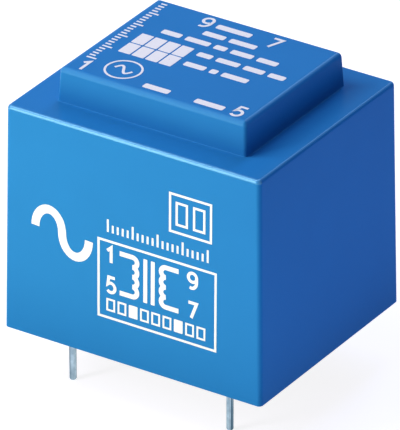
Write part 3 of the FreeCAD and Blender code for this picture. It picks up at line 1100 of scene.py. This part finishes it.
@dataclass
class FrontPrint(PrintedFace):
    """Print on the long side over the primary pins, measured from the middle of its rim."""

    bold: float = 1.0
    thin: float = 0.27
    sign_place: Point = (-8.8, 13.45)
    sign_radii: Point = (1.7, 2.35)
    core_low: Point = (4.8, 17.75)
    core_high: Point = (9.9, 22.2)
    windows: tuple[Point, ...] = ((5.63, 18.7), (7.8, 18.7))
    window_size: Point = (1.27, 2.55)
    scale_start: Point = (-3.0, 15.3)
    tick_spacing: float = 0.626
    tick: float = 1.5
    tick_line: float = 0.24
    ticks: int = 21
    cell_start: Point = (-3.18, 5.87)
    cell_size: Point = (1.1, 1.5)
    cell_spacing: float = 1.42
    cell_line: float = 0.22
    cell_corner: float = 0.1
    cells: int = 9
    full_cells: tuple[int, ...] = (2, 6)
    diagram_low: Point = (-4.17, 5.06)
    diagram_high: Point = (10.53, 14.22)
    diagram_middle: float = 2.2
    limb_gap: float = 0.47
    limb_width: float = 0.48
    limb_ends: Point = (8.2, 13.4)
    limb_corner: float = 0.05
    coil_gap: float = 2.1
    coil_foot: float = 8.45
    coil_loops: int = 4
    coil_radius: float = 0.59
    coil_line: float = 0.56
    coil_lead: float = 1.6
    number_height: float = 1.8
    number_line: float = 0.36
    numbers: tuple[tuple[Numeral, Point], ...] = (
        (Numeral.ONE, (-3.2, 11.7)), (Numeral.FIVE, (-3.15, 8.15)),
        (Numeral.NINE, (7.1, 11.7)), (Numeral.SEVEN, (7.1, 8.15)))

    def panel(self) -> Panel:
        """Return the leaning front face."""
        lean = math.radians(self.housing.wall_draft)
        return Panel(Vector((0, -self.housing.width / 2, 0)), Vector((1, 0, 0)),
                     Vector((0, math.sin(lean), math.cos(lean))))

    def drawings(self) -> dict[str, Callable[[PadPrint], None]]:
        """Return each piece's name with the method that draws it."""
        return {"print_mains_sign": self.mains_sign, "print_core_sign": self.core_sign,
                "print_front_rows": self.rows, "print_winding_diagram": self.diagram}

    def mains_sign(self, pad: PadPrint) -> None:
        """Draw the alternating-current sign as one wave.

        Args:
            pad: The print that takes it.
        """
        (x, y), reach = self.sign_place, self.sign_radii[0]
        crest = arc((x - reach, y), self.sign_radii, 180, 0, 18)
        trough = arc((x + reach, y), self.sign_radii, 180, 360, 18)
        pad.line(crest + trough[1:], self.bold)

    def core_sign(self, pad: PadPrint) -> None:
        """Draw the core as a frame with its two windows.

        Args:
            pad: The print that takes it.
        """
        pad.box(self.core_low, self.core_high, self.thin)
        for x, y in self.windows:
            pad.box((x, y), (x + self.window_size[0], y + self.window_size[1]), self.thin)

    def rows(self, pad: PadPrint) -> None:
        """Draw the scale over the diagram and the row of cells in it, two of them full.

        Args:
            pad: The print that takes them.
        """
        pad.scale(self.scale_start, (self.tick_spacing, 0.0), self.ticks, (0.0, self.tick),
                  self.tick_line)
        (width, height), half = self.cell_size, self.cell_line / 2
        for i in range(self.cells):
            x, y = self.cell_start[0] + self.cell_spacing * i, self.cell_start[1]
            if i in self.full_cells:
                pad.bar((x, y), (x + width, y + height), self.cell_corner)
            else:
                pad.box((x + half, y + half), (x + width - half, y + height - half),
                        self.cell_line)

    def diagram(self, pad: PadPrint) -> None:
        """Draw the framed diagram: two coils that face the core's limbs, and the pins' numbers.

        Args:
            pad: The print that takes it.
        """
        pad.box(self.diagram_low, self.diagram_high, self.thin)
        (low, high), half = self.limb_ends, self.limb_width / 2
        for side in (1, -1):
            limb = self.diagram_middle - side * self.limb_gap
            pad.bar((limb - half, low), (limb + half, high), self.limb_corner)
            foot = (self.diagram_middle - side * self.coil_gap, self.coil_foot)
            pad.coil(foot, self.coil_loops, self.coil_radius, self.coil_line, side, self.coil_lead)
        for digit, corner in self.numbers:
            pad.numeral(digit, corner, self.number_height, self.number_line)


@dataclass
class TopPrint(PrintedFace):
    """Print on the dome, measured from its middle: numbers near their pins, field and rows."""

    number_height: float = 2.0
    number_line: float = 0.34
    numbers: tuple[tuple[Numeral, Point], ...] = (
        (Numeral.ONE, (-10.2, -8.8)), (Numeral.FIVE, (9.1, -8.8)),
        (Numeral.NINE, (-4.7, 6.4)), (Numeral.SEVEN, (3.9, 6.2)))
    field_start: Point = (-8.46, -3.2)
    field_spacing: Point = (1.7, 2.5)
    field_size: Point = (1.5, 2.3)
    field_corner: float = 0.12
    ring_place: Point = (-5.6, -6.4)
    ring_radius: float = 2.0
    ring_line: float = 0.24
    wave_length: float = 2.2
    wave_height: float = 0.7
    wave_line: float = 0.3
    scale_start: Point = (-10.55, -5.95)
    tick_spacing: float = 0.6
    tick: float = 1.2
    tick_line: float = 0.24
    ticks: int = 25
    row_height: float = 0.9
    row_corner: float = 0.2
    rows_of_bars: tuple[tuple[float, tuple[Point, ...]], ...] = (
        (6.8, ((-2.7, 1.6),)),
        (4.8, ((-3.1, -0.4), (0.2, 3.5))),
        (2.75, ((-7.0, -4.6), (-4.0, -1.0), (-0.4, 1.1), (1.7, 4.4), (5.0, 7.5))),
        (0.4, ((-1.0, 0.8), (1.4, 4.2), (4.8, 7.3), (7.9, 9.9))),
        (-2.15, ((-1.0, 1.6), (2.2, 3.1), (3.7, 6.9))),
        (-8.6, ((-1.9, 1.3), (4.5, 8.1))),
    )

    def panel(self) -> Panel:
        """Return the top of the dome."""
        return Panel(Vector((0, 0, self.housing.height)), Vector((1, 0, 0)), Vector((0, 1, 0)))

    def drawings(self) -> dict[str, Callable[[PadPrint], None]]:
        """Return each piece's name with the method that draws it."""
        return {"print_pin_numbers": self.pin_numbers, "print_rating_field": self.rating_field,
                "print_top_marks": self.marks, "print_top_rows": self.rows}

    def pin_numbers(self, pad: PadPrint) -> None:
        """Draw the pins' numbers."""
        for digit, corner in self.numbers:
            pad.numeral(digit, corner, self.number_height, self.number_line)

    def rating_field(self, pad: PadPrint) -> None:
        """Draw the white field as two rows of four cells.

        Args:
            pad: The print that takes it.
        """
        width, height = self.field_size
        for row in range(2):
            for column in range(4):
                x = self.field_start[0] + self.field_spacing[0] * column
                y = self.field_start[1] + self.field_spacing[1] * row
                pad.bar((x, y), (x + width, y + height), self.field_corner)

    def marks(self, pad: PadPrint) -> None:
        """Draw the ring round a wave, and the scale along the short edge.

        Args:
            pad: The print that takes them.
        """
        (x, y), radius, steps = self.ring_place, self.ring_radius, 48
        pad.line(arc((x, y), (radius, radius), 0, 360 - 360 / steps, steps - 1), self.ring_line,
                 closed=True)
        pad.line([(x + share * self.wave_length - self.wave_length / 2,
                   y + self.wave_height * math.sin(2 * math.pi * share))
                  for share in (i / steps for i in range(0, steps + 1, 2))], self.wave_line)
        pad.scale(self.scale_start, (0.0, self.tick_spacing), self.ticks, (self.tick, 0.0),
                  self.tick_line)

    def rows(self, pad: PadPrint) -> None:
        """Draw the rows of bars."""
        for y, spans in self.rows_of_bars:
            for start, end in spans:
                pad.bar((start, y), (end, y + self.row_height), self.row_corner)


# The studio


@dataclass(frozen=True)
class SoftBox:
    """A soft light with an oblong front that faces the transformer, or lies flat and faces up.

    Distances and sizes are in metres.
    """

    name: str
    towards: tuple[float, float, float]
    radiance: float
    tint: str
    distance: float = 0.27
    width: float = 0.068
    height: float = 0.24
    flat: bool = False

    def hang(self, aim: Vector) -> None:
        """Hang the light.

        Args:
            aim: The point that it faces, in metres.
        """
        lamp = bpy.data.lights.new(self.name, "AREA")
        lamp.shape = "RECTANGLE"
        lamp.size, lamp.size_y = self.width, self.height
        lamp.energy = self.radiance * math.pi * self.width * self.height
        lamp.color = linear(self.tint)[:3]
        holder = add_object(self.name, lamp)
        direction = Vector(self.towards).normalized()
        holder.location = aim + direction * self.distance
        back = Vector((0, 0, -1)) if self.flat else direction
        holder.rotation_euler = back.to_track_quat("Z", "Y").to_euler()
        holder.visible_camera = False


@dataclass(frozen=True)
class Viewpoint:
    """Where the photograph was taken from, found from the corners of the case in it."""

    azimuth: float = 33.003
    elevation: float = 28.574
    roll: float = -0.142
    distance: float = 892.0
    aim_height: float = 15.0
    pixels_per_mm: float = 9.403
    offset: Point = (0.179, 2.637)
    frame_height: float = 430.0
    sensor: float = 36.0
    clip_metres: Point = (0.05, 20.0)

    def place(self) -> None:
        """Create the camera."""
        azimuth, elevation, roll = map(math.radians, (self.azimuth, self.elevation, self.roll))
        right = Vector((math.cos(azimuth), math.sin(azimuth), 0))
        back = Vector((math.sin(azimuth) * math.cos(elevation),
                       -math.cos(azimuth) * math.cos(elevation), math.sin(elevation)))
        up = back.cross(right)
        turned = Matrix.Rotation(roll, 3, back)
        right, up = turned @ right, turned @ up
        spot = (Vector((0, 0, self.aim_height)) - right * self.offset[0] - up * self.offset[1]
                + back * self.distance)
        data = bpy.data.cameras.new("photo_camera")
        data.sensor_width = self.sensor
        data.lens = self.pixels_per_mm * self.distance / self.frame_height * self.sensor
        data.clip_start, data.clip_end = self.clip_metres
        camera = add_object("photo_camera", data)
        turn = Matrix((right, up, back)).transposed().to_4x4()
        camera.matrix_world = Matrix.Translation(spot * MM) @ turn
        bpy.context.scene.camera = camera


@dataclass
class Studio:
    """White table, three strip lights, two pale cards on the table, a faint fill and the camera."""

    aim: Vector = field(default_factory=lambda: Vector((0, 0, 0.015)))
    floor_height: float = -6.4
    floor_size_metres: float = 2.4
    fill_strength: float = 0.17
    fill_tint: str = "#CABCFF"
    floor_tint: str = "#B4B4B8"
    floor_glow: float = 0.86
    floor_show: str = "#B4B4B4"
    lights: tuple[SoftBox, ...] = (
        SoftBox("key_strip", (-0.4835, -0.8225, 0.2994), 7.7, "#F5EEFF"),
        SoftBox("upper_strip", (-0.4835, -0.2994, 0.8225), 7.4, "#EEEEFF"),
        SoftBox("rim_strip", (-0.05, 0.573, 0.819), 5.4, "#B8C8FF"),
        SoftBox("table_card_front", (-0.06, -0.158, -0.0208), 1.8, "#F9FFD6", 0.1703, 0.18, 0.26,
                flat=True),
        SoftBox("table_card_right", (0.125, -0.01, -0.0208), 1.05, "#70B0FF", 0.1271, 0.2, 0.18,
                flat=True),
    )

    def show(self, tree: Tree, output: str, lit: bpy.types.Node, seen: bpy.types.Node) -> None:
        """Finish a tree that looks one way to the light and another way to the eye.

        Args:
            tree: The tree.
            output: The type name of its output node.
            lit: The shader that diffuse rays meet.
            seen: The shader for rays from the camera and for mirrored and refracted ones.
        """
        path = add_node(tree, "ShaderNodeLightPath")
        share = path.outputs["Is Camera Ray"]
        for ray in ("Is Glossy Ray", "Is Transmission Ray"):
            share = add_node(tree, "ShaderNodeMath", {"operation": "MAXIMUM"}, {
                0: share, 1: path.outputs[ray]}).outputs[0]
        mixed = add_node(tree, "ShaderNodeMixShader", sockets={
            0: share, 1: lit.outputs[0], 2: seen.outputs[0]})
        add_node(tree, output, sockets={0: mixed.outputs[0]})

    def set_world(self) -> None:
        """Fill softly all round, and show white."""
        world = bpy.data.worlds.new("studio")
        tree = emptied_tree(world)
        fill = add_node(tree, "ShaderNodeBackground", sockets={
            "Color": linear(self.fill_tint), "Strength": self.fill_strength})
        white = add_node(tree, "ShaderNodeBackground", sockets={"Color": WHITE, "Strength": 1.0})
        self.show(tree, "ShaderNodeOutputWorld", fill, white)
        bpy.context.scene.world = world

    def lay_floor(self) -> None:
        """Lay the table: pale to the light, white to the eye, with a faint shadow."""
        half, z = self.floor_size_metres / 2, self.floor_height * MM
        mesh = bpy.data.meshes.new("floor")
        mesh.from_pydata([(-half, -half, z), (half, -half, z), (half, half, z), (-half, half, z)],
                         [], [(0, 1, 2, 3)])
        material = bpy.data.materials.new("paper_matt_white")
        tree = emptied_tree(material)
        paper = add_node(tree, "ShaderNodeBsdfDiffuse", sockets={"Color": linear(self.floor_tint)})
        shown = add_node(tree, "ShaderNodeBsdfDiffuse", sockets={"Color": linear(self.floor_show)})
        glow = add_node(tree, "ShaderNodeEmission", sockets={
            "Color": WHITE, "Strength": self.floor_glow})
        white = add_node(tree, "ShaderNodeAddShader", sockets={
            0: shown.outputs[0], 1: glow.outputs[0]})
        self.show(tree, "ShaderNodeOutputMaterial", paper, white)
        mesh.materials.append(material)
        floor = add_object("floor", mesh)

    def set_up(self) -> None:
        """Set up the table, the lights, the camera and a plain view."""
        bpy.context.scene.view_settings.view_transform = "Standard"
        self.set_world()
        self.lay_floor()
        for light in self.lights:
            light.hang(self.aim)
        Viewpoint().place()


def main() -> None:
    """Build the transformer's looks, then the studio."""
    logging.basicConfig(level=logging.INFO, format="%(message)s")
    shelf = FinishShelf()
    Inside().dress(shelf)
    housing, pins = Housing(), Pins()
    housing.build(shelf)
    pins.build(shelf)
    ResinEdges(housing, pins).build(shelf)
    FrontPrint(housing).build(shelf)
    TopPrint(housing).build(shelf)
    Studio().set_up()


if __name__ == "__main__":
    main()
